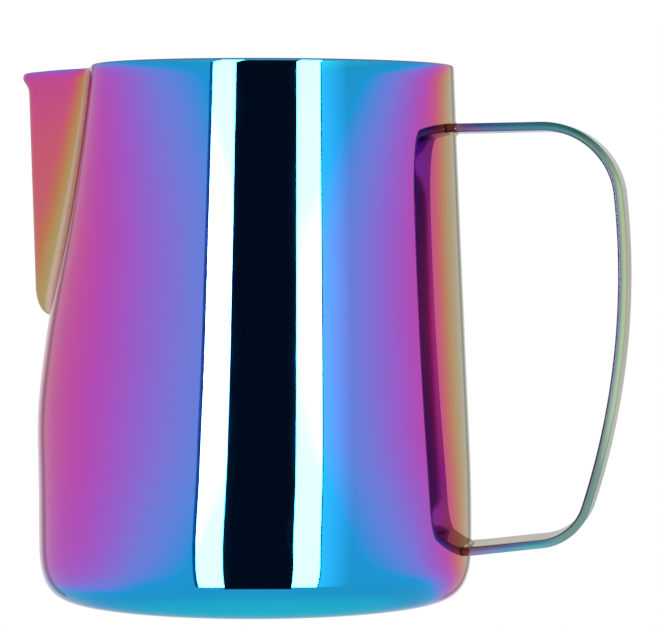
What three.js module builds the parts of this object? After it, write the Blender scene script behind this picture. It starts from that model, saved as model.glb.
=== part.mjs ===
// Milk frothing pitcher. A steel cup, drawn in one piece with its pouring spout, and a bent strap
// handle that is welded to it at both ends. Millimetres, +Z up. The origin lies on the axis of the
// cup, in the plane that it stands on. The spout points to -X and the handle to +X.
import * as THREE from 'three';

// ---- driving dimensions ----------------------------------------------------------------------

// cup
const CUP_HEIGHT = 92.3;
const RIM_RADIUS = 34.4;
const BELLY_RADIUS = 37.55;
const BASE_RADIUS = 29.3;        // the flat disc that the cup stands on
const CORNER_HEIGHT = 12;        // height of the rounded corner between base and side
const CORNER_SQUARENESS = 3.2;   // 2 would be a quarter ellipse, more is squarer
const TAPER_START = 20;          // height where the side begins to lean in
const TAPER_BLEND = 3;           // how softly it begins
const SIDE_HOLLOW = 0.1;         // how far the side sinks in halfway up the taper
const WALL = 0.8;
const RIM_ROUND = 0.3;           // height of the rounding on each edge of the rim

// spout, which is pressed out of the wall
const SPOUT_FOOT = 48.9;         // height where it leaves the side
const SPOUT_FOOT_ROUND = 6;      // height over which it comes out
const SPOUT_REACH_LOW = 38.8;    // reach from the axis just above the foot
const SPOUT_REACH_HIGH = 40.15;  // and just below the lip
const LIP_FLARE = 1;             // how much further the lip reaches
const LIP_FLARE_DROP = 0.9;      // how far below the rim it reaches furthest
const LIP_FLARE_HEIGHT = 1.3;
const LIP_DIP = 0.62;            // how far the rim sinks towards the spout
const LIP_DIP_ANGLE = 40;
const TIP_DIP = 0.4;             // how much further it sinks at the very tip
const TIP_DIP_ANGLE = 7;
const SPOUT_HALF_ANGLE = 31.5;   // degrees between each flank and the middle of the spout
const SPOUT_TIP_RADIUS = 3.5;
const PINCH_DEPTH = 9.7;         // how far the wall is pressed in beside the spout, at the rim
const PINCH_ANGLE = 35.2;        // degrees, half width of the pressed zone
const PINCH_START = 47.3;        // height where the pressing begins
const PINCH_BLEND = 3;
const CREASE_BLEND = 5;          // how softly the flanks of the spout run into the side
const BULGE_REACH = 0.77;        // how far the side swells out below the spout
const BULGE_HEIGHT = 32.5;
const BULGE_SPREAD = 9.75;
const BULGE_ANGLE = 50;

// handle, a flat strap bent in the plane Y = 0
const STRAP_WIDTH = 14;
const STRAP_THICKNESS = 1.5;
const STRAP_BEVEL = 0.4;
const GRIP_REACH = 63.95;        // from the axis to the middle of the strap
const GRIP_HEIGHT = 56;          // where the grip reaches furthest
const GRIP_RADIUS = 128;
const UPPER_BEND_RADIUS = 13;
const LOWER_BEND_RADIUS = 8.9;
const UPPER_BEND_ANGLE = 6.3;    // degrees up the grip's arc where the upper bend begins
const LOWER_BEND_ANGLE = 17.8;   // degrees down the grip's arc where the lower bend begins
const UPPER_LEG_RISE = 1;        // degrees that the upper leg climbs on its way out
const LOWER_LEG_RISE = 6.9;      // degrees that the lower leg climbs on its way out

// fillet welds between the legs and the cup
const WELD_RADIUS = 0.6;
const WELD_LENGTH = 12;
const GAP = 0.3;                 // between pieces that touch on the real pitcher

// ---- helpers ---------------------------------------------------------------------------------

const radians = THREE.MathUtils.degToRad;
const { clamp, smoothstep } = THREE.MathUtils;

const steel = (color, roughness) => new THREE.MeshStandardMaterial({ color, roughness, metalness: 1 });

// One at zero, falling smoothly to nothing on both sides.
const bell = (value, spread) => Math.exp(-((value / spread) ** 2));

// Zero below zero, the value itself above, with a soft start.
const softRamp = (value, blend) => blend * Math.log(1 + Math.exp(value / blend));

const smoothMax = (a, b, blend) => {
  const overlap = Math.max(blend - Math.abs(a - b), 0);
  return Math.max(a, b) + overlap ** 2 / (4 * blend);
};

function named(name, geometry, material) {
  const mesh = new THREE.Mesh(geometry, material);
  mesh.name = name;
  return mesh;
}

// ---- cup -------------------------------------------------------------------------------------

// Outer radius of the side at a height, without the spout.
function sideRadius(z) {
  const taper = softRamp(z - TAPER_START, TAPER_BLEND) / (CUP_HEIGHT - TAPER_START);
  const hollow = 4 * SIDE_HOLLOW * taper * (1 - taper);
  return BELLY_RADIUS - (BELLY_RADIUS - RIM_RADIUS) * taper - hollow;
}

// Outer radius with the rounded corner at the foot.
function profileRadius(z) {
  const below = clamp(1 - z / CORNER_HEIGHT, 0, 1);
  const out = (1 - below ** CORNER_SQUARENESS) ** (1 / CORNER_SQUARENESS);
  return BASE_RADIUS + (sideRadius(z) - BASE_RADIUS) * out;
}

// How far the spout has come out at a height, from 0 at its foot to 1 above the rounding.
function spoutOut(z) {
  const below = clamp((SPOUT_FOOT + SPOUT_FOOT_ROUND - z) / SPOUT_FOOT_ROUND, 0, 1);
  return (1 - below ** 2.5) ** (1 / 2.5);
}

// How far the tip of the spout is from the axis at a height.
function spoutReach(z) {
  const up = clamp((z - SPOUT_FOOT) / (CUP_HEIGHT - SPOUT_FOOT), 0, 1);
  const straight = SPOUT_REACH_LOW + (SPOUT_REACH_HIGH - SPOUT_REACH_LOW) * up;
  const flare = LIP_FLARE * bell(z - CUP_HEIGHT + LIP_FLARE_DROP, LIP_FLARE_HEIGHT);
  const start = sideRadius(z) - 1;
  return start + (straight + flare - start) * spoutOut(z);
}

// Radius of the wedge with a round tip that forms the spout, at an angle from its middle.
function wedgeRadius(angle, reach) {
  const half = radians(SPOUT_HALF_ANGLE);
  const centre = reach - SPOUT_TIP_RADIUS;
  const tangent = Math.atan2(SPOUT_TIP_RADIUS * Math.cos(half), centre + SPOUT_TIP_RADIUS * Math.sin(half));
  if (angle < tangent) {
    return centre * Math.cos(angle) + Math.sqrt(SPOUT_TIP_RADIUS ** 2 - (centre * Math.sin(angle)) ** 2);
  }
  const apex = centre + SPOUT_TIP_RADIUS / Math.sin(half);
  return angle + half < Math.PI ? apex * Math.sin(half) / Math.sin(half + angle) : 0;
}

// Outer radius of the wall with the spout, at an angle from the middle of the spout.
function wallRadius(angle, z) {
  const pinch = PINCH_DEPTH * softRamp(z - PINCH_START, PINCH_BLEND) / (CUP_HEIGHT - PINCH_START);
  const bulge = BULGE_REACH * bell(z - BULGE_HEIGHT, BULGE_SPREAD);
  const pressed = sideRadius(z) - pinch * bell(angle, radians(PINCH_ANGLE))
    + bulge * bell(angle, radians(BULGE_ANGLE));
  if (z <= SPOUT_FOOT || angle > Math.PI / 2) {
    return pressed;
  }
  return smoothMax(pressed, wedgeRadius(angle, spoutReach(z)), CREASE_BLEND * spoutOut(z));
}

// The wall measured along the radius is thicker where the surface runs across the radius.
function slantedWall(angle, z) {
  const step = 0.02;
  const slope = (wallRadius(angle + step, z) - wallRadius(Math.abs(angle - step), z)) / (2 * step);
  return WALL * Math.hypot(1, slope / wallRadius(angle, z));
}

// Half section of the cup: up the outside, over the rim and down the inside.
function cupSection() {
  const outside = [];
  const cornerSteps = 7;
  for (let i = 0; i < cornerSteps; i += 1) {
    const turn = (i / cornerSteps) * Math.PI / 2;
    const z = CORNER_HEIGHT * (1 - Math.cos(turn) ** (2 / CORNER_SQUARENESS));
    outside.push(new THREE.Vector2(profileRadius(z), z));
  }
  const bands = [
    { top: SPOUT_FOOT, steps: 4 },
    { top: SPOUT_FOOT + SPOUT_FOOT_ROUND, steps: 5 },
    { top: CUP_HEIGHT - 4, steps: 5 },
    { top: CUP_HEIGHT - RIM_ROUND, steps: 3 },
  ];
  let z = CORNER_HEIGHT;
  for (const band of bands) {
    const rise = (band.top - z) / band.steps;
    for (let i = 0; i < band.steps; i += 1) {
      outside.push(new THREE.Vector2(profileRadius(z), z));
      z += rise;
    }
  }
  outside.push(new THREE.Vector2(profileRadius(z), z));

  const inside = outside.map((point, i) => {
    const along = outside[Math.min(i + 1, outside.length - 1)].clone().sub(outside[Math.max(i - 1, 0)]);
    const inward = new THREE.Vector2(-along.y, along.x).normalize();
    const inner = point.clone().addScaledVector(inward, WALL);
    inner.y = i === 0 ? WALL : Math.max(inner.y, WALL);
    return inner;
  });
  inside[inside.length - 1].y = CUP_HEIGHT - RIM_ROUND;
  const crest = new THREE.Vector2(RIM_RADIUS - WALL / 2, CUP_HEIGHT);
  const section = [new THREE.Vector2(0, 0), ...outside, crest, ...inside.reverse()];
  section.push(new THREE.Vector2(0, WALL));
  return section;
}

function cup() {
  const section = cupSection();
  const crestRow = section.findIndex((point) => point.y === CUP_HEIGHT);
  const turns = 72;
  const geometry = new THREE.LatheGeometry(section, turns);
  const position = geometry.attributes.position;
  for (let i = 0; i < position.count; i += 1) {
    const row = i % section.length;
    const { x: radius, y: height } = section[row];
    // crowd the divisions towards the spout, which is at angle pi
    const even = (Math.floor(i / section.length) % turns) / turns * 2 * Math.PI;
    const turn = even + 0.45 * Math.sin(even);
    const angle = Math.abs(Math.PI - turn);
    const inner = row > crestRow ? 1 : row === crestRow ? 0.5 : 0;
    let out = radius;
    let z = height;
    if (height > CORNER_HEIGHT) {
      out += wallRadius(angle, height) - sideRadius(height) - inner * (slantedWall(angle, height) - WALL);
      const dip = LIP_DIP * bell(angle, radians(LIP_DIP_ANGLE))
        + TIP_DIP * bell(angle, radians(TIP_DIP_ANGLE));
      z -= dip * smoothstep(height, SPOUT_FOOT, CUP_HEIGHT);
    }
    position.setXYZ(i, out * Math.cos(turn), out * Math.sin(turn), z);
  }
  return geometry;
}

// ---- handle ----------------------------------------------------------------------------------

// An arc in the plane Y = 0, from one angle to another in degrees above +X.
function arcPoints(centre, radius, from, to, steps) {
  return Array.from({ length: steps + 1 }, (_, i) => {
    const angle = radians(from + (to - from) * i / steps);
    return new THREE.Vector2(centre.x + radius * Math.cos(angle), centre.y + radius * Math.sin(angle));
  });
}

// Where a leg, followed inwards from its bend, reaches a gap in front of the cup.
function legEnd(start, rise) {
  const direction = new THREE.Vector2(-Math.cos(radians(rise)), -Math.sin(radians(rise)));
  const point = start.clone();
  while (point.x > profileRadius(point.y) + GAP) {
    point.addScaledVector(direction, 0.01);
  }
  return point;
}

// The middle line of the strap, as points x, z from the upper weld to the lower one.
function handleLine() {
  const centre = new THREE.Vector2(GRIP_REACH - GRIP_RADIUS, GRIP_HEIGHT);
  const bendCentre = (angle, radius) => new THREE.Vector2(
    centre.x + (GRIP_RADIUS - radius) * Math.cos(radians(angle)),
    centre.y + (GRIP_RADIUS - radius) * Math.sin(radians(angle)),
  );
  const upper = bendCentre(UPPER_BEND_ANGLE, UPPER_BEND_RADIUS);
  const lower = bendCentre(-LOWER_BEND_ANGLE, LOWER_BEND_RADIUS);
  const upperBend = arcPoints(upper, UPPER_BEND_RADIUS, 90 + UPPER_LEG_RISE, UPPER_BEND_ANGLE, 10);
  const grip = arcPoints(centre, GRIP_RADIUS, UPPER_BEND_ANGLE, -LOWER_BEND_ANGLE, 10);
  const lowerBend = arcPoints(lower, LOWER_BEND_RADIUS, -LOWER_BEND_ANGLE, LOWER_LEG_RISE - 90, 8);
  return [
    legEnd(upperBend[0], UPPER_LEG_RISE),
    ...upperBend,
    ...grip.slice(1, -1),
    ...lowerBend,
    legEnd(lowerBend[lowerBend.length - 1], LOWER_LEG_RISE),
  ];
}

// The ends of the strap are cut hollow, so that they follow the round side of the cup.
function hollowEnds(geometry) {
  const position = geometry.attributes.position;
  for (let i = 0; i < position.count; i += 1) {
    const radius = profileRadius(position.getZ(i));
    const x = position.getX(i);
    const y = position.getY(i);
    if (x < radius + 2 * GAP) {
      position.setX(i, x - radius + Math.sqrt(radius ** 2 - y ** 2));
    }
  }
}

// The strap is its side view, which is a band along the middle line, pushed out across its width.
function strap(line) {
  const half = STRAP_THICKNESS / 2;
  const edge = (side) => line.map((point, i) => {
    const along = line[Math.min(i + 1, line.length - 1)].clone().sub(line[Math.max(i - 1, 0)]);
    const across = new THREE.Vector2(-along.y, along.x).normalize();
    return point.clone().addScaledVector(across, side * half);
  });
  const outline = new THREE.Shape([...edge(1), ...edge(-1).reverse()]);
  const geometry = new THREE.ExtrudeGeometry(outline, {
    depth: STRAP_WIDTH - 2 * STRAP_BEVEL,
    steps: 6,
    bevelEnabled: true,
    bevelThickness: STRAP_BEVEL,
    bevelSize: STRAP_BEVEL,
    bevelOffset: -STRAP_BEVEL,
    bevelSegments: 1,
    curveSegments: 1,
  });
  geometry.translate(0, 0, STRAP_BEVEL - STRAP_WIDTH / 2);
  geometry.rotateX(Math.PI / 2);
  hollowEnds(geometry);
  return geometry;
}

// A fillet weld: a quarter-round bead along the corner between a leg and the cup.
function weld(end, side) {
  const corner = STRAP_THICKNESS / 2 + GAP;
  const points = [];
  const steps = 12;
  for (let i = 0; i <= steps; i += 1) {
    const y = WELD_LENGTH * (i / steps - 0.5);
    const z = end.y + side * (corner + WELD_RADIUS);
    const x = Math.sqrt(profileRadius(z) ** 2 - y ** 2) + GAP + WELD_RADIUS;
    points.push(new THREE.Vector3(x, y, z));
  }
  const bead = new THREE.Shape();
  bead.absarc(0, 0, WELD_RADIUS, 0, 2 * Math.PI, false);
  return new THREE.ExtrudeGeometry(bead, {
    steps,
    curveSegments: 4,
    extrudePath: new THREE.CatmullRomCurve3(points),
  });
}

// ---- assembly --------------------------------------------------------------------------------

const pitcher = new THREE.Group();
pitcher.add(named('pitcher_body', cup(), steel(0x8a66d4, 0.08)));

const line = handleLine();
pitcher.add(named('handle_strap', strap(line), steel(0x4aa3b8, 0.1)));

const joints = [
  { name: 'upper', end: line[0] },
  { name: 'lower', end: line[line.length - 1] },
];
for (const { name, end } of joints) {
  pitcher.add(named(`weld_${name}_top`, weld(end, 1), steel(0xb8b08c, 0.3)));
  pitcher.add(named(`weld_${name}_underside`, weld(end, -1), steel(0xb8b08c, 0.3)));
}

export default pitcher;
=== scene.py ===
"""Milk frothing pitcher: a steel cup with a rainbow coating, and a welded strap handle."""
import math

import bpy
import numpy as np
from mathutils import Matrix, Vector


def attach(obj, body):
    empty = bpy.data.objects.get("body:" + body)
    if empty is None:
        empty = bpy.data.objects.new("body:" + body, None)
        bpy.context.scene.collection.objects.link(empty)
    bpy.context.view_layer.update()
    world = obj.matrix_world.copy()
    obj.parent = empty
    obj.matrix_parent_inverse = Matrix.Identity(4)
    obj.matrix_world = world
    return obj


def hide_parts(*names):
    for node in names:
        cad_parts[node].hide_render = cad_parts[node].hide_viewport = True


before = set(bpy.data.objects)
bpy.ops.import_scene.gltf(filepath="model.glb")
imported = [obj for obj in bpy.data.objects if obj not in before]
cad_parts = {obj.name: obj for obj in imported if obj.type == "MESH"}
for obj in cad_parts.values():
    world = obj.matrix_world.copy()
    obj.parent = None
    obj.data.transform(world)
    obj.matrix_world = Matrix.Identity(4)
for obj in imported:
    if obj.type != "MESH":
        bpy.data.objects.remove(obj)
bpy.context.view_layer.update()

MM = 0.001

# ---- driving dimensions of the CAD, in millimetres and degrees ------------------------------

CUP_HEIGHT = 92.3
RIM_RADIUS = 34.4
BELLY_RADIUS = 37.55
BASE_RADIUS = 29.3
CORNER_HEIGHT = 12
CORNER_SQUARENESS = 3.2
TAPER_START = 20
TAPER_BLEND = 3
SIDE_HOLLOW = 0.1
WALL = 0.8

SPOUT_FOOT = 48.9              # height where it leaves the side
SPOUT_FOOT_ROUND = 6           # height over which it comes out
SPOUT_FOOT_SQUARENESS = 2.5
SPOUT_START_DEPTH = 1          # how far inside the side its foot starts
SPOUT_REACH_LOW = 38.8
SPOUT_REACH_HIGH = 40.15
LIP_FLARE = 1
LIP_FLARE_DROP = 0.9
LIP_FLARE_HEIGHT = 1.3
LIP_DIP = 0.62
LIP_DIP_ANGLE = 40
TIP_DIP = 0.4
TIP_DIP_ANGLE = 7
SPOUT_HALF_ANGLE = 31.5
SPOUT_TIP_RADIUS = 3.5
PINCH_DEPTH = 9.7
PINCH_ANGLE = 35.2
PINCH_START = 47.3
PINCH_BLEND = 3
CREASE_BLEND = 5
BULGE_REACH = 0.77
BULGE_HEIGHT = 32.5
BULGE_SPREAD = 9.75
BULGE_ANGLE = 50

STRAP_WIDTH = 14
STRAP_THICKNESS = 1.5
GRIP_REACH = 63.95
GRIP_HEIGHT = 56
GRIP_RADIUS = 128
UPPER_BEND_RADIUS = 13
LOWER_BEND_RADIUS = 8.9
UPPER_BEND_ANGLE = 6.3
LOWER_BEND_ANGLE = 17.8
UPPER_LEG_RISE = 1
LOWER_LEG_RISE = 6.9

WELD_LENGTH = 12

# ---- sizes of the finer shapes that only the visual pieces have, in millimetres -------------

TOP_BAND = 4                   # height of the band below the rim where the rows stand closer
COLUMNS = 352                  # points round the cup
CROWDING = 0.6                 # 0 spaces them evenly, and nearer 1 they crowd at the spout
RINGS = (0.02, 0.35, 0.7)      # the rings that fill the base, as shares of its size
NO_SPOUT = -10                 # how proud the spout counts as, below its foot
STRAP_EDGE_RADIUS = 0.6        # the CAD has a flat bevel there
LEG_STEP = 0.01                # how finely the place where a leg meets the cup is found
BEAD_LENGTH = WELD_LENGTH + 1
BEAD_LEG = 0.7                 # how far a bead reaches along the cup and along the leg
BEAD_HOLLOW = 0.22             # how much its face sinks in, as a share of that
BEAD_RIPPLE = 0.06             # how much it swells and shrinks, as a share of that
BEAD_PITCH = 1.1               # length of one ripple
BEAD_SUNK_IN_CUP = 0.25
BEAD_SUNK_IN_LEG = 0.15


# ---- mesh helpers ---------------------------------------------------------------------------

def mesh_object(name, points, faces, material):
    """A smooth-shaded piece from points in millimetres. Its last two faces are flat end caps."""
    mesh = bpy.data.meshes.new(name)
    mesh.from_pydata([Vector(p) * MM for p in points], [], faces)
    mesh.validate()
    smooth = [True] * (len(mesh.polygons) - 2) + [False, False]
    mesh.polygons.foreach_set("use_smooth", smooth)
    mesh.materials.append(material)
    piece = bpy.data.objects.new(name, mesh)
    bpy.context.scene.collection.objects.link(piece)
    return piece


def grid_faces(rows, columns, wrap):
    """Quads between the points of a grid that is stored row by row."""
    last = columns if wrap else columns - 1
    faces = []
    for row in range(rows - 1):
        for column in range(last):
            beside = (column + 1) % columns
            low = row * columns
            high = low + columns
            faces.append((low + column, low + beside, high + beside, high + column))
    return faces


def end_caps(columns, rows):
    """The faces that close both ends of a grid whose rows are rings."""
    first = (rows - 1) * columns
    return [tuple(range(columns))[::-1], tuple(range(first, first + columns))]


def point_value(piece, name, values):
    """A number for each point of the mesh, which a material can read."""
    layer = piece.data.attributes.new(name, "FLOAT", "POINT")
    layer.data.foreach_set("value", np.asarray(values, float))


# ---- shape of the cup -----------------------------------------------------------------------

def bell(value, spread):
    """1 in the middle, and close to 0 beyond twice the spread."""
    return np.exp(-(value / spread) ** 2)


def soft_ramp(value, blend):
    """0 below 0 and the value itself above, with a soft bend between."""
    return blend * np.log1p(np.exp(value / blend))


def side_radius(z):
    """Outer radius of the side, without the spout."""
    taper = soft_ramp(z - TAPER_START, TAPER_BLEND) / (CUP_HEIGHT - TAPER_START)
    hollow = 4 * SIDE_HOLLOW * taper * (1 - taper)
    return BELLY_RADIUS - (BELLY_RADIUS - RIM_RADIUS) * taper - hollow


def profile_radius(z):
    """Outer radius with the rounded corner at the foot."""
    below = np.clip(1 - z / CORNER_HEIGHT, 0, 1)
    out = (1 - below ** CORNER_SQUARENESS) ** (1 / CORNER_SQUARENESS)
    return BASE_RADIUS + (side_radius(z) - BASE_RADIUS) * out


def spout_out(z):
    """How far the spout has come out, from 0 at its foot to 1."""
    below = np.clip((SPOUT_FOOT + SPOUT_FOOT_ROUND - z) / SPOUT_FOOT_ROUND, 0, 1)
    return (1 - below ** SPOUT_FOOT_SQUARENESS) ** (1 / SPOUT_FOOT_SQUARENESS)


def spout_reach(z):
    """Distance from the axis to the tip of the spout."""
    up = np.clip((z - SPOUT_FOOT) / (CUP_HEIGHT - SPOUT_FOOT), 0, 1)
    straight = SPOUT_REACH_LOW + (SPOUT_REACH_HIGH - SPOUT_REACH_LOW) * up
    flare = LIP_FLARE * bell(z - CUP_HEIGHT + LIP_FLARE_DROP, LIP_FLARE_HEIGHT)
    start = side_radius(z) - SPOUT_START_DEPTH
    return start + (straight + flare - start) * spout_out(z)


def wedge_radius(angle, reach):
    """Radius of the round-nosed wedge that forms the spout."""
    half = math.radians(SPOUT_HALF_ANGLE)
    centre = reach - SPOUT_TIP_RADIUS
    tangent = np.arctan2(SPOUT_TIP_RADIUS * math.cos(half),
                         centre + SPOUT_TIP_RADIUS * math.sin(half))
    half_chord = np.sqrt(np.maximum(SPOUT_TIP_RADIUS ** 2 - (centre * np.sin(angle)) ** 2, 0))
    nose = centre * np.cos(angle) + half_chord
    apex = centre + SPOUT_TIP_RADIUS / math.sin(half)
    never = math.pi - 0.1          # a ray this far round would hardly meet the flank
    flank = apex * math.sin(half) / np.sin(np.minimum(half + angle, never))
    flank = np.where(angle + half < never, flank, 0)
    return np.where(angle < tangent, nose, flank)


def wall_parts(angle, z):
    """Radius of the pressed side and of the spout's wedge, at an angle from the spout's middle."""
    pinch = PINCH_DEPTH * soft_ramp(z - PINCH_START, PINCH_BLEND) / (CUP_HEIGHT - PINCH_START)
    bulge = BULGE_REACH * bell(z - BULGE_HEIGHT, BULGE_SPREAD)
    pressed = (side_radius(z) - pinch * bell(angle, math.radians(PINCH_ANGLE))
               + bulge * bell(angle, math.radians(BULGE_ANGLE)))
    wedge = np.where(angle < math.pi / 2, wedge_radius(angle, spout_reach(z)), 0)
    return pressed, wedge


def wall_radius(angle, z):
    """Outer radius above the corner, where the spout and the side run into each other."""
    pressed, wedge = wall_parts(angle, z)
    blend = np.maximum(CREASE_BLEND * spout_out(z), 0.01)
    overlap = np.maximum(blend - np.abs(pressed - wedge), 0)
    joined = np.maximum(pressed, wedge) + overlap ** 2 / (4 * blend)
    return np.where(z > SPOUT_FOOT, joined, pressed)


def cup_heights():
    """Heights of the rows of the outside, closest together where it curves most."""
    turns = np.linspace(0, math.pi / 2, 22)[:-1]
    corner = CORNER_HEIGHT * (1 - np.cos(turns) ** (2 / CORNER_SQUARENESS))
    bands = [
        (CORNER_HEIGHT, SPOUT_FOOT - 1, 16),
        (SPOUT_FOOT - 1, SPOUT_FOOT + SPOUT_FOOT_ROUND, 30),
        (SPOUT_FOOT + SPOUT_FOOT_ROUND, CUP_HEIGHT - TOP_BAND, 70),
        (CUP_HEIGHT - TOP_BAND, CUP_HEIGHT - WALL / 2, 13),
    ]
    rows = [np.linspace(low, high, steps + 1)[:-1] for low, high, steps in bands]
    return np.concatenate([corner, *rows, [CUP_HEIGHT - WALL / 2]])


def lip_dip(angle, z):
    """How far the surface sinks towards the middle of the spout."""
    up = np.clip((z - SPOUT_FOOT) / (CUP_HEIGHT - SPOUT_FOOT), 0, 1)
    dip = (LIP_DIP * bell(angle, math.radians(LIP_DIP_ANGLE))
           + TIP_DIP * bell(angle, math.radians(TIP_DIP_ANGLE)))
    return dip * up * up * (3 - 2 * up)


def cup_outside(turn, angle, z):
    """Points of the outside, row by row from the base to the rim."""
    above = z > CORNER_HEIGHT
    radius = np.where(above, wall_radius(angle, z), profile_radius(z))
    height = z - lip_dip(angle, z) * above
    return np.stack([radius * np.cos(turn), radius * np.sin(turn), height], axis=-1)


def surface_directions(outside):
    """The directions out of the surface and up along it, from the neighbouring points."""
    around = np.roll(outside, -1, axis=1) - np.roll(outside, 1, axis=1)
    upward = np.gradient(outside, axis=0)
    upward /= np.linalg.norm(upward, axis=-1, keepdims=True)
    normal = np.cross(around, upward)
    normal[0] = (0, 0, -1)
    normal /= np.linalg.norm(normal, axis=-1, keepdims=True)
    return normal, upward


def mark_rows(piece, name, rows, first, last):
    """The value 1 for the cup's rows from first up to last, and 0 for the others."""
    values = np.zeros(rows)
    values[first:last] = 1
    point_value(piece, name, np.repeat(values, COLUMNS))


def cup_body(material):
    even = np.arange(COLUMNS) / COLUMNS * 2 * math.pi
    turn = even + CROWDING * np.sin(even)
    angle = np.abs(math.pi - turn)[None, :]
    z = cup_heights()[:, None]
    outside = cup_outside(turn, angle, z)
    normal, upward = surface_directions(outside)
    inside = (outside - WALL * normal)[::-2]

    # the rim is a half round from the outside to the inside
    crest = outside[-1] - WALL / 2 * normal[-1]
    rim = [crest + WALL / 2 * (math.cos(t) * normal[-1] + math.sin(t) * upward[-1])
           for t in np.linspace(0, math.pi, 9)[1:-1]]

    base_rings = [outside[0] * (f, f, 1) for f in RINGS]
    floor_rings = [inside[-1] * (f, f, 1) for f in RINGS[::-1]]
    rows = np.array([*base_rings, *outside, *rim, *inside, *floor_rings])
    faces = grid_faces(len(rows), COLUMNS, True) + end_caps(COLUMNS, len(rows))
    piece = mesh_object("cup_body", rows.reshape(-1, 3), faces, material)

    first = len(base_rings) + len(outside)
    mark_rows(piece, "inside", len(rows), first + len(rim) // 2, len(rows))
    mark_rows(piece, "rim", len(rows), first, first + len(rim))

    # how far the spout stands out from the crease beside it, in millimetres
    pressed, wedge = wall_parts(angle, z)
    proud = np.where(z > SPOUT_FOOT, wedge - pressed, NO_SPOUT)
    rows_proud = [proud[:1]] * len(base_rings) + [proud] + [proud[-1:]] * len(rim)
    rows_proud += [proud[::-2]] + [proud[:1]] * len(floor_rings)
    point_value(piece, "proud", np.concatenate(rows_proud).ravel())
    return piece


# ---- shape of the handle --------------------------------------------------------------------

def arc(centre, radius, start, end, steps):
    return [centre + radius * np.array([math.cos(t), math.sin(t)])
            for t in np.radians(np.linspace(start, end, steps + 1))]


def leg(start, rise):
    """From the bend inwards until the middle of the strap meets the cup."""
    direction = -np.array([math.cos(math.radians(rise)), math.sin(math.radians(rise))])
    length = 0
    end = start
    while end[0] > profile_radius(end[1]):
        length += LEG_STEP
        end = start + length * direction
    return [start + length * f * direction for f in np.linspace(0, 1, 13)[1:]]


def handle_line():
    """The middle line of the strap as x, z, from the upper weld to the lower one."""
    centre = np.array([GRIP_REACH - GRIP_RADIUS, GRIP_HEIGHT])

    def bend_centre(angle, radius):
        t = math.radians(angle)
        return centre + (GRIP_RADIUS - radius) * np.array([math.cos(t), math.sin(t)])

    upper = arc(bend_centre(UPPER_BEND_ANGLE, UPPER_BEND_RADIUS), UPPER_BEND_RADIUS,
                90 + UPPER_LEG_RISE, UPPER_BEND_ANGLE, 48)
    grip = arc(centre, GRIP_RADIUS, UPPER_BEND_ANGLE, -LOWER_BEND_ANGLE, 64)
    lower = arc(bend_centre(-LOWER_BEND_ANGLE, LOWER_BEND_RADIUS), LOWER_BEND_RADIUS,
                -LOWER_BEND_ANGLE, LOWER_LEG_RISE - 90, 40)
    upper_leg = leg(upper[0], UPPER_LEG_RISE)
    lower_leg = leg(lower[-1], LOWER_LEG_RISE)
    return np.array([*upper_leg[::-1], *upper, *grip[1:-1], *lower, *lower_leg])


def strap_section():
    """Rounded rectangle as (across the thickness, along the width), anticlockwise."""
    half = STRAP_THICKNESS / 2
    wide = STRAP_WIDTH / 2
    edge = STRAP_EDGE_RADIUS
    corners = [(half - edge, wide - edge, 0), (edge - half, wide - edge, 90),
               (edge - half, edge - wide, 180), (half - edge, edge - wide, 270)]
    section = []
    for n, w, start in corners:
        for t in np.radians(np.linspace(start, start + 90, 6)):
            section.append((n + edge * math.cos(t), w + edge * math.sin(t)))
        if start in (90, 270):
            side = -half if start == 90 else half
            across = np.linspace(wide - edge, edge - wide, 15)[1:-1]
            section += [(side, w) for w in (across if start == 90 else -across)]
    return section


def cut_to_cup(points, ring):
    """Hollow both ends of the strap, so that they follow the round of the cup."""
    radius = profile_radius(points[:, 2])
    # the points less than a millimetre from the cup, and all of both end rings
    near = points[:, 0] < radius + 1
    near[:ring] = True
    near[-ring:] = True
    followed = points[:, 0] - radius + np.sqrt(radius ** 2 - points[:, 1] ** 2)
    points[:, 0] = np.where(near, followed, points[:, 0])


def handle_strap(line, material):
    section = strap_section()
    along = np.gradient(line, axis=0)
    along /= np.linalg.norm(along, axis=1, keepdims=True)
    outward = np.stack([-along[:, 1], along[:, 0]], axis=1)
    points = []
    for middle, out in zip(line, outward):
        for n, w in section:
            x, z = middle + n * out
            points.append((x, w, z))
    points = np.array(points)
    cut_to_cup(points, len(section))
    faces = grid_faces(len(line), len(section), True) + end_caps(len(section), len(line))
    faces = [f[::-1] for f in faces]
    piece = mesh_object("strap_handle", points, faces, material)
    steps = np.linalg.norm(np.diff(line, axis=0), axis=1)
    lengths = np.concatenate([[0], np.cumsum(steps)])
    point_value(piece, "along", np.repeat(lengths, len(section)))
    point_value(piece, "across", np.tile([n * 2 / STRAP_THICKNESS for n, w in section], len(line)))
    return piece


# ---- shape of the welds ---------------------------------------------------------------------

def bead_size(y):
    """How far a bead reaches at a place along it: rippled, and rounded off at its ends."""
    rounding = math.sqrt(max(1 - abs(y / (BEAD_LENGTH / 2 + 0.05)) ** 6, 0.01))
    ripple = 1 + BEAD_RIPPLE * math.cos(y * 2 * math.pi / BEAD_PITCH)
    return BEAD_LEG * rounding * ripple


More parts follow.
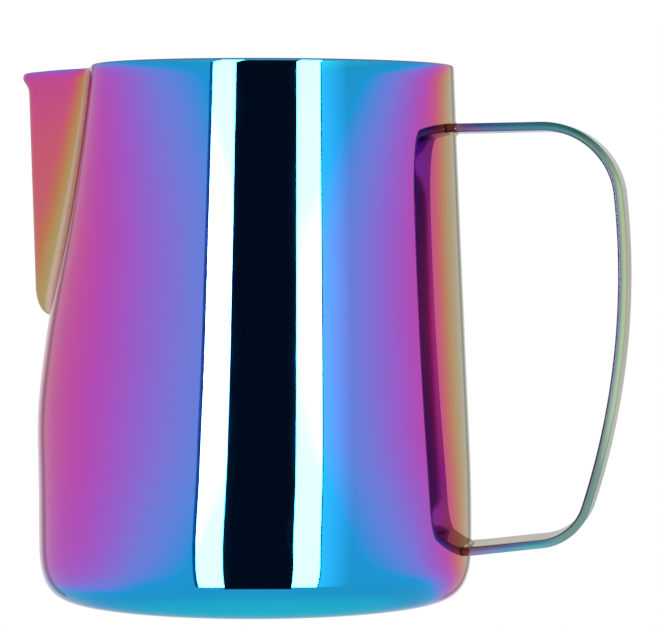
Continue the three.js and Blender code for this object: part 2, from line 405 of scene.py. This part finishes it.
def weld_bead(name, end, side, material):
    """A fillet that fills the corner between a leg and the cup: side is 1 above the leg, -1 below."""
    steps = 72
    around = 10
    z = end[1] + side * (STRAP_THICKNESS / 2 - BEAD_SUNK_IN_LEG)
    radius = profile_radius(z)
    points = []
    for i in range(steps + 1):
        y = BEAD_LENGTH * (i / steps - 0.5)
        size = bead_size(y)
        x = math.sqrt(radius ** 2 - y * y) - BEAD_SUNK_IN_CUP
        points.append((x, y, z))
        for k in range(around):
            t = math.pi / 2 * k / (around - 1)
            reach = size * (1 - BEAD_HOLLOW * math.sin(2 * t))
            points.append((x + reach * math.cos(t), y, z + side * reach * math.sin(t)))
    columns = around + 1
    faces = grid_faces(steps + 1, columns, True) + end_caps(columns, steps + 1)
    if side > 0:
        faces = [f[::-1] for f in faces]
    return mesh_object(name, points, faces, material)


# ---- materials ------------------------------------------------------------------------------

def linear(red, green, blue):
    """A display colour, 0 to 255, as linear light."""
    def part(value):
        value /= 255
        return value / 12.92 if value <= 0.04045 else ((value + 0.055) / 1.055) ** 2.4
    return (part(red), part(green), part(blue), 1)


class Nodes:
    """A short way to write a material's nodes."""

    def __init__(self, name):
        self.material = bpy.data.materials.new(name)
        self.material.use_nodes = True
        self.tree = self.material.node_tree
        self.shader = self.tree.nodes["Principled BSDF"]

    def add(self, kind, **settings):
        node = self.tree.nodes.new(kind)
        for key, value in settings.items():
            setattr(node, key, value)
        return node

    def plug(self, source, socket):
        if isinstance(source, (int, float, tuple)):
            socket.default_value = source
        else:
            self.tree.links.new(source, socket)

    def math(self, operation, a, b=0.0, c=0.0):
        node = self.add("ShaderNodeMath", operation=operation)
        for source, socket in zip((a, b, c), node.inputs):
            self.plug(source, socket)
        return node.outputs[0]

    def value(self, name):
        """A number that the mesh carries."""
        return self.add("ShaderNodeAttribute", attribute_name=name).outputs["Fac"]

    def dot(self, vector, direction):
        node = self.add("ShaderNodeVectorMath", operation="DOT_PRODUCT")
        self.plug(vector, node.inputs[0])
        node.inputs[1].default_value = direction
        return node.outputs["Value"]

    def split(self, vector):
        node = self.add("ShaderNodeSeparateXYZ")
        self.plug(vector, node.inputs[0])
        return node.outputs

    def blend(self, factor, a, b):
        """The colour a where factor is 0, and b where it is 1."""
        node = self.add("ShaderNodeMix", data_type="RGBA")
        self.plug(factor, node.inputs[0])
        self.plug(a, node.inputs[6])
        self.plug(b, node.inputs[7])
        return node.outputs[2]

    def mix(self, factor, a, b):
        """The number a where factor is 0, and b where it is 1."""
        node = self.add("ShaderNodeMix")
        sockets = (node.inputs[0], node.inputs[2], node.inputs[3])
        for source, socket in zip((factor, a, b), sockets):
            self.plug(source, socket)
        return node.outputs[0]

    def fade(self, value, start, end, low=0.0, high=1.0):
        """Smoothly from low to high while value goes from start to end."""
        node = self.add("ShaderNodeMapRange", interpolation_type="SMOOTHSTEP")
        for source, socket in zip((value, start, end, low, high), node.inputs):
            self.plug(source, socket)
        return node.outputs[0]

    def ramp(self, value, low, high, stops):
        """Colours at values between low and high."""
        node = self.add("ShaderNodeValToRGB")
        spot = self.math("DIVIDE", self.math("SUBTRACT", value, low), high - low)
        self.plug(spot, node.inputs[0])
        elements = node.color_ramp.elements
        while len(elements) < len(stops):
            elements.new(0.5)
        for element, (at, colour) in zip(elements, stops):
            element.position = (at - low) / (high - low)
            element.color = linear(*colour)
        return node.outputs[0]

    def curve(self, value, low, high, bottom, top, stops):
        """A smooth curve through the stops, whose heights lie between bottom and top."""
        node = self.add("ShaderNodeFloatCurve")
        spot = self.math("DIVIDE", self.math("SUBTRACT", value, low), high - low)
        self.plug(spot, node.inputs["Value"])
        points = node.mapping.curves[0].points
        while len(points) < len(stops):
            points.new(0.5, 0.5)
        for point, (at, height) in zip(points, stops):
            point.location = ((at - low) / (high - low), (height - bottom) / (top - bottom))
        node.mapping.update()
        return self.math("MULTIPLY_ADD", node.outputs[0], float(top - bottom), float(bottom))

    def noise(self, vector, scale, detail=2.0, roughness=0.5):
        node = self.add("ShaderNodeTexNoise")
        self.plug(vector, node.inputs["Vector"])
        node.inputs["Scale"].default_value = scale
        node.inputs["Detail"].default_value = detail
        node.inputs["Roughness"].default_value = roughness
        return node.outputs["Fac"]


# The colours that the coating runs through, by step. Those below 0 come only near the foot and the
# rim, and the last ones only where the cup faces the handle.
COATING = [
    (-55, (30, 174, 203)),
    (-44, (30, 166, 202)),
    (-30, (30, 148, 201)),
    (-8, (31, 148, 209)),
    (6, (34, 148, 216)),
    (13, (65, 139, 218)),
    (19, (93, 130, 218)),
    (25, (114, 121, 215)),
    (31, (138, 104, 207)),
    (37, (159, 88, 196)),
    (43, (178, 74, 180)),
    (48, (190, 74, 155)),
    (52, (195, 76, 134)),
    (56, (197, 90, 112)),
    (61, (189, 116, 84)),
    (67, (176, 144, 92)),
    (75, (162, 155, 110)),
    (84, (140, 160, 122)),
    (94, (112, 158, 138)),
]
BLUE_LINE = 13                 # degrees from -Y towards +X, where the coating is bluest
# From the blue line the colours run on by about one step a degree towards the handle. Towards the
# spout they start faster and then slow down: degrees from the blue line, and steps.
AROUND = [(-90, 53), (-75, 51), (-66, 49), (-57, 46.5), (-45, 41), (-33, 33.5), (-21, 25.5),
          (-10, 14), (0, 2), (10, 9.5), (20, 20), (55, 55), (62, 65), (90, 94)]
AROUND_TOP = 90                # steps at the top of that curve's scale
# How far the bands bend towards the foot and the rim, in steps: height and bend.
BEND = [(0, 56), (3.8, 49), (5.4, 44), (7.8, 35), (10.3, 31.5), (13.5, 28.5), (20, 23), (28, 14.5),
        (36, 8.5), (46, 3), (56, 3), (69, 12), (77, 18), (85.2, 25), (89.3, 29.5), (90.7, 38),
        (91.5, 47), (92.3, 55)]
BEND_TOP = 60
SPOUT_SIDE_BEND = 0.77         # share of that bend which is left on the spout's side
LOW_FRONT_BEND = 0.72          # and low down, just to the handle's side of the blue line
SPOUT_EDGE = 1.2               # width of the change from the cup's colours to the spout's
# On the spout itself the colour depends only on the height, and turns to gold along the crease.
SPOUT_STEPS = (60.5, 58.6)     # low on the spout, and from about half its height up
SPOUT_GOLD_STEPS = 12
SPOUT_GOLD_WIDTH = 6.5


def facing_angle(n):
    """Degrees from the blue line to the way the surface faces, the same in front and behind."""
    normal = n.add("ShaderNodeNewGeometry").outputs["Normal"]
    t = math.radians(BLUE_LINE)
    ahead = n.math("ABSOLUTE", n.dot(normal, (math.sin(t), -math.cos(t), 0)))
    aside = n.dot(normal, (math.cos(t), math.sin(t), 0))
    return n.math("MULTIPLY", n.math("ARCTAN2", aside, ahead), 180 / math.pi)


def spout_steps(n, height, proud):
    """Where the spout is in the coating's colours."""
    gold = n.fade(proud, 0.3, SPOUT_GOLD_WIDTH, SPOUT_GOLD_STEPS, 0.0)
    plain = n.fade(height, SPOUT_FOOT + 3, SPOUT_FOOT + 23, *SPOUT_STEPS)
    return n.math("ADD", gold, plain)


def band_bend(n, angle, height, spout):
    """How far the bands bend at a place, in steps."""
    upper = n.fade(angle, -20, 0, SPOUT_SIDE_BEND, 1.0)
    lower = n.fade(n.math("ABSOLUTE", angle), 15, 45, LOW_FRONT_BEND, 1.0)
    lower = n.mix(n.fade(angle, -20, 0), SPOUT_SIDE_BEND, lower)
    middle = n.mix(n.fade(height, 20, 60), lower, upper)
    ends = n.math("ADD", n.fade(height, 2.5, 5, 1.0, 0.0), n.fade(height, 90.8, 92.6))
    share = n.mix(ends, middle, 1.0)
    full = n.curve(height, 0, CUP_HEIGHT, 0, BEND_TOP, BEND)
    return n.math("MULTIPLY", full, n.mix(spout, share, 1.0))


def coating_colour(n):
    """Rainbow colours that follow the way the surface faces and its height."""
    coords = n.add("ShaderNodeTexCoord").outputs["Object"]
    height = n.math("DIVIDE", n.split(coords)[2], MM)
    angle = facing_angle(n)
    proud = n.value("proud")
    spout = n.fade(proud, -SPOUT_EDGE / 2, SPOUT_EDGE / 2)
    steps = n.curve(angle, -90, 90, 0, AROUND_TOP, AROUND)
    steps = n.mix(spout, steps, spout_steps(n, height, proud))

    # the bands curve like arcs: steps squared is along squared plus bend squared
    bend = band_bend(n, angle, height, spout)
    left = n.math("SUBTRACT", n.math("POWER", steps, 2.0), n.math("POWER", bend, 2.0))
    along = n.math("MULTIPLY", n.math("SIGN", left), n.math("SQRT", n.math("ABSOLUTE", left)))
    uneven = n.math("MULTIPLY_ADD", n.noise(coords, 60, 3.0), 2.0, -1.0)
    clouds = n.math("MULTIPLY_ADD", n.noise(coords, 16, 2.0), 5.0, -2.5)
    along = n.math("ADD", n.math("ADD", along, uneven), clouds)
    return n.ramp(along, COATING[0][0], COATING[-1][0], COATING)


def brushed_bump(n, strength):
    """Fine lines that run round the axis."""
    place = n.add("ShaderNodeTexCoord").outputs["Object"]
    mapping = n.add("ShaderNodeMapping")
    n.plug(place, mapping.inputs["Vector"])
    mapping.inputs["Scale"].default_value = (40, 40, 5000)
    bump = n.add("ShaderNodeBump")
    n.plug(strength, bump.inputs["Strength"])
    bump.inputs["Distance"].default_value = 0.00002
    n.plug(n.noise(mapping.outputs[0], 1.0, 3.0), bump.inputs["Height"])
    return bump.outputs[0]


CREASE_REFLECTION_MIDDLE = -1.6           # how proud the wall is in the middle of the painted reflection along the crease
CREASE_REFLECTION_FADE = (1.2, 3.2)       # how much prouder or less proud the painted reflection starts to fade out, and is gone


def cup_material():
    """Coated and mirror bright outside, with a painted reflection along the crease beside the spout.
    Inside it is brushed steel, tinted just below the rim.
    """
    n = Nodes("coated_steel_cup")
    inside = n.value("inside")
    coords = n.add("ShaderNodeTexCoord").outputs["Object"]
    height = n.math("DIVIDE", n.split(coords)[2], MM)
    cloudy = n.noise(coords, 45, 3.0)
    steel = n.blend(cloudy, linear(176, 173, 168), linear(204, 202, 198))
    below_rim = n.fade(height, CUP_HEIGHT - 9, CUP_HEIGHT - 1, 0.0, 0.8)
    steel = n.blend(below_rim, steel, linear(120, 140, 200))
    coated = n.blend(n.value("rim"), coating_colour(n), linear(84, 112, 160))
    # a pale beige band along the crease beside the spout: a painted reflection of the white room seen at
    # a grazing angle; the band is rougher too
    crease_reflection_offset = n.math("ABSOLUTE", n.math("SUBTRACT", n.value("proud"), CREASE_REFLECTION_MIDDLE))
    crease_reflection = n.fade(crease_reflection_offset, *CREASE_REFLECTION_FADE, 1.0, 0.0)
    coated = n.blend(n.math("MULTIPLY", crease_reflection, 0.75), coated, linear(204, 186, 158))
    n.plug(n.blend(inside, coated, steel), n.shader.inputs["Base Color"])

    polish = n.fade(n.noise(coords, 130, 4.0), 0.3, 0.7, 0.016, 0.026)
    satin = n.fade(cloudy, 0.3, 0.7, 0.27, 0.34)
    # the band of painted reflection along the crease is also made rougher
    polish = n.math("MULTIPLY_ADD", crease_reflection, 0.3, polish)
    n.plug(n.mix(inside, polish, satin), n.shader.inputs["Roughness"])
    n.plug(brushed_bump(n, n.math("MULTIPLY", inside, 0.5)), n.shader.inputs["Normal"])
    n.shader.inputs["Specular Tint"].default_value = (0.82, 0.8, 0.8, 1)
    n.shader.inputs["Metallic"].default_value = 1
    return n.material


# The coating along the strap, by the distance in millimetres from the upper weld: on its inner
# face, on its long edges beside the inner and beside the outer face, and on its outer face.
INNER_FACE = [(0, (140, 126, 200)), (30, (158, 132, 216)), (55, (222, 150, 236)),
              (84, (182, 124, 222)), (100, (188, 172, 150)), (111, (186, 168, 120))]
INNER_EDGE = [(0, (120, 84, 96)), (3, (128, 92, 140)), (7, (92, 118, 158)), (16, (74, 130, 150)),
              (24, (112, 150, 148)), (30, (112, 134, 140)), (70, (124, 146, 150)), (84, (106, 130, 136)),
              (94, (112, 146, 148)), (99, (60, 118, 138)), (105, (92, 96, 135)), (110, (120, 84, 108))]
OUTER_EDGE = [(0, (130, 108, 70)), (2, (92, 60, 112)), (5, (46, 76, 124)), (12, (38, 104, 118)),
              (22, (40, 92, 82)), (26, (92, 122, 112)), (34, (172, 192, 152)), (72, (174, 198, 166)),
              (82, (122, 154, 138)), (93, (112, 146, 136)), (99, (90, 176, 182)), (105, (96, 152, 196)),
              (110, (140, 128, 170))]
OUTER_FACE = [(0, (185, 80, 140)), (5, (150, 92, 190)), (11, (90, 122, 200)), (18, (50, 140, 170)),
              (26, (90, 150, 126)), (38, (160, 168, 112)), (54, (186, 158, 96)), (70, (158, 168, 112)),
              (84, (96, 152, 128)), (92, (50, 140, 170)), (99, (80, 124, 205)), (105, (146, 96, 196)),
              (111, (188, 80, 146))]
STRAP_LENGTH = 112             # a little more than the length of the strap's middle line
FACE_SHIFT = 7                 # how far the bands on the outer face bend, in millimetres


def strap_material():
    """The same coating, which runs through its colours along the strap and over its edges."""
    n = Nodes("coated_steel_strap")
    coords = n.add("ShaderNodeTexCoord").outputs["Object"]
    uneven = n.math("MULTIPLY_ADD", n.noise(coords, 140, 2.0), 3.0, -1.5)
    along = n.math("ADD", n.value("along"), uneven)
    across = n.value("across")
    half_width = n.math("DIVIDE", n.split(coords)[1], STRAP_WIDTH / 2 * MM)
    away = n.math("SUBTRACT", along, STRAP_LENGTH / 2)
    bent = n.math("MULTIPLY", n.math("MULTIPLY", half_width, half_width), FACE_SHIFT)
    bent = n.math("MULTIPLY_ADD", n.math("SIGN", away), bent, along)
    inner_face = n.ramp(along, 0, STRAP_LENGTH, INNER_FACE)
    outer_face = n.ramp(bent, 0, STRAP_LENGTH, OUTER_FACE)
    inner_edge = n.ramp(along, 0, STRAP_LENGTH, INNER_EDGE)
    outer_edge = n.ramp(along, 0, STRAP_LENGTH, OUTER_EDGE)
    colour = n.blend(n.fade(across, -0.5, 0.5), inner_edge, outer_edge)
    colour = n.blend(n.fade(across, -1.0, -0.85), inner_face, colour)
    colour = n.blend(n.fade(across, 0.85, 1.0), colour, outer_face)
    n.plug(colour, n.shader.inputs["Base Color"])
    polish = n.fade(n.noise(coords, 60, 3.0), 0.3, 0.7, 0.15, 0.2)
    n.plug(polish, n.shader.inputs["Roughness"])
    n.shader.inputs["Specular Tint"].default_value = (0.62, 0.62, 0.6, 1)
    n.shader.inputs["Metallic"].default_value = 1
    return n.material


def weld_material():
    """Coated too, but rough and stained by the heat: gold, pink and brown."""
    n = Nodes("coated_weld")
    place = n.add("ShaderNodeTexCoord").outputs["Object"]
    stain = n.noise(place, 700, 4.0, 0.6)
    tint = n.ramp(stain, 0.3, 0.7, [(0.3, (70, 64, 56)), (0.42, (160, 112, 110)), (0.5, (182, 146, 92)),
                                    (0.6, (196, 166, 92)), (0.7, (122, 122, 106))])
    n.plug(tint, n.shader.inputs["Base Color"])
    bump = n.add("ShaderNodeBump")
    bump.inputs["Strength"].default_value = 0.5
    bump.inputs["Distance"].default_value = 0.0001
    n.plug(n.noise(place, 2200, 2.0), bump.inputs["Height"])
    n.plug(bump.outputs[0], n.shader.inputs["Normal"])
    n.plug(n.fade(stain, 0.3, 0.7, 0.28, 0.14), n.shader.inputs["Roughness"])
    n.shader.inputs["Metallic"].default_value = 1
    return n.material


# ---- studio ---------------------------------------------------------------------------------

CAMERA_AZIMUTH = 9.8          # degrees from -Y towards +X
CAMERA_DISTANCE = 0.592       # from the axis of the cup
CAMERA_HEIGHT = 0.0681
CAMERA_DOWN = 1.787           # degrees that it looks down
CAMERA_ASIDE = 1.226          # degrees that it turns from the cup's axis towards the handle
CAMERA_LENS = 187             # millimetres, for a sensor 36 mm wide
STUDIO_RADIUS = 1.0           # metres, as the heights below
CARD_LOW = -0.45
CARD_LEAN_END = -0.08         # below this height the cards stand upright
CARD_MIDDLE = 0.1             # one more row of points, which keeps the leaning edges true
CARD_FADE = 0.35              # from this height up the cards fade into the white room
CARD_HIGH = 0.5
STRIP_LIGHT = 58
GAP_LIGHT = 0.48              # of the dimmer gaps behind the pitcher, which its outline reflects
REFLECTOR_X = (27.5, 105)     # millimetres: its left edge just clears the side of the cup
REFLECTOR_Y = -27
REFLECTOR_Z = (-12, 108)
FLOOR_SIZE = 3                # metres from the middle to each edge
FLOOR_DROP = 0.0002           # keeps the floor clear of the base


def glow_material(name, colour):
    """Light whose strength is a number on the mesh."""
    material = bpy.data.materials.new(name)
    material.use_nodes = True
    tree = material.node_tree
    tree.nodes.clear()
    strength = tree.nodes.new("ShaderNodeAttribute")
    strength.attribute_name = "strength"
    light = tree.nodes.new("ShaderNodeEmission")
    light.inputs["Color"].default_value = colour
    output = tree.nodes.new("ShaderNodeOutputMaterial")
    tree.links.new(strength.outputs["Fac"], light.inputs["Strength"])
    tree.links.new(light.outputs[0], output.inputs[0])
    return material


def studio_panel(name, points, faces, lights, material):
    """A glowing part of the studio, from points in metres and the light at each of them."""
    mesh = bpy.data.meshes.new(name)
    mesh.from_pydata(points, [], faces)
    mesh.materials.append(material)
    panel = bpy.data.objects.new(name, mesh)
    bpy.context.scene.collection.objects.link(panel)
    point_value(panel, "strength", lights)
    return panel


def reflections_only(panel):
    panel.visible_camera = False
    panel.visible_diffuse = False


def card(name, left, right, strength, material, low=CARD_LOW):
    """A tall curved card round the pitcher, which only reflections show.

    left and right are its edges: degrees from the camera's side, and how many degrees the edge
    leans over per metre of height. strength is its light, or its light at the left edge and at
    the right edge.
    """
    first, last = (strength, strength) if isinstance(strength, (int, float)) else strength
    rows = [low, CARD_LEAN_END, CARD_MIDDLE, CARD_FADE, CARD_HIGH]
    steps = 12
    points = []
    lights = []
    for z in rows:
        rise = max(z, CARD_LEAN_END) - CAMERA_HEIGHT
        edges = [at + lean * rise + CAMERA_AZIMUTH for at, lean in (left, right)]
        for f in np.linspace(0, 1, steps + 1):
            t = math.radians(edges[0] + (edges[1] - edges[0]) * f)
            points.append((STUDIO_RADIUS * math.sin(t), -STUDIO_RADIUS * math.cos(t), z))
            light = first + (last - first) * f
            lights.append(1 if z == CARD_HIGH else light)
    panel = studio_panel(name, points, grid_faces(len(rows), steps + 1, False), lights, material)
    reflections_only(panel)


def reflector(material):
    """A small white card in front of the handle, which its long edge reflects."""
    left, right = (x * MM for x in REFLECTOR_X)
    low, high = (z * MM for z in REFLECTOR_Z)
    y = REFLECTOR_Y * MM
    points = [(left, y, low), (right, y, low), (right, y, high), (left, y, high)]
    panel = studio_panel("reflector", points, [(0, 1, 2, 3)], [1] * 4, material)
    reflections_only(panel)


def white_floor(material):
    """As bright as the room, and left out of reflections."""
    size = FLOOR_SIZE
    points = [(-size, -size, 0), (size, -size, 0), (size, size, 0), (-size, size, 0)]
    floor = studio_panel("floor", points, [(0, 1, 2, 3)], [1] * 4, material)
    floor.location.z = -FLOOR_DROP
    floor.visible_glossy = False
    floor.visible_shadow = False


def white_room():
    world = bpy.data.worlds.new("white_room")
    world.use_nodes = True
    world.node_tree.nodes["Background"].inputs["Color"].default_value = (1, 1, 1, 1)
    world.node_tree.nodes["Background"].inputs["Strength"].default_value = 1
    bpy.context.scene.world = world
    bpy.context.scene.view_settings.view_transform = "Standard"


def studio():
    white_room()
    white = glow_material("white_light", (1, 1, 1, 1))
    navy = glow_material("black_card", (0.3, 0.6, 1, 1))
    card("line_left", (-29, 24), (-27, 24), (0.6, 0.1), navy)
    card("strip_left", (-27, 24), (-13.8, 21), STRIP_LIGHT, white)
    card("card_front", (-13.8, 21), (21.3, 13.5), 0.018, navy, CARD_LOW - 0.05)
    card("strip_right", (21.3, 13.5), (34.8, 12), STRIP_LIGHT, white)
    card("line_right", (34.8, 12), (35.6, 12), 0.3, white)
    card("glow_right", (35.6, 12), (52, 10), (1.75, 1), white)
    card("gap_left_a", (-158, 0), (-149, 0), (1, GAP_LIGHT), white)
    card("gap_left_b", (-149, 0), (-143, 0), (GAP_LIGHT, 1), white)
    card("gap_right_a", (150, 0), (157, 0), (1, GAP_LIGHT), white)
    card("gap_right_b", (157, 0), (164, 0), (GAP_LIGHT, 1), white)
    reflector(white)
    white_floor(white)


def camera():
    data = bpy.data.cameras.new("camera")
    data.sensor_width = 36
    data.lens = CAMERA_LENS
    data.clip_start = 0.02
    eye = bpy.data.objects.new("camera", data)
    bpy.context.scene.collection.objects.link(eye)
    t = math.radians(CAMERA_AZIMUTH)
    eye.location = (CAMERA_DISTANCE * math.sin(t), -CAMERA_DISTANCE * math.cos(t), CAMERA_HEIGHT)
    tilt = math.radians(90 - CAMERA_DOWN)
    eye.rotation_euler = (tilt, 0, math.radians(CAMERA_AZIMUTH - CAMERA_ASIDE))
    bpy.context.scene.camera = eye


# ---- the pitcher ----------------------------------------------------------------------------

def build():
    body = cup_body(cup_material())
    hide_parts("pitcher_body")
    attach(body, "root")

    line = handle_line()
    strap = handle_strap(line, strap_material())
    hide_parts("handle_strap")
    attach(strap, "root")

    material = weld_material()
    for where, end in (("upper", line[0]), ("lower", line[-1])):
        for part, side in (("top", 1), ("underside", -1)):
            bead = weld_bead(f"weld_bead_{where}_{part}", end, side, material)
            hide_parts(f"weld_{where}_{part}")
            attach(bead, "root")


build()
studio()
camera()
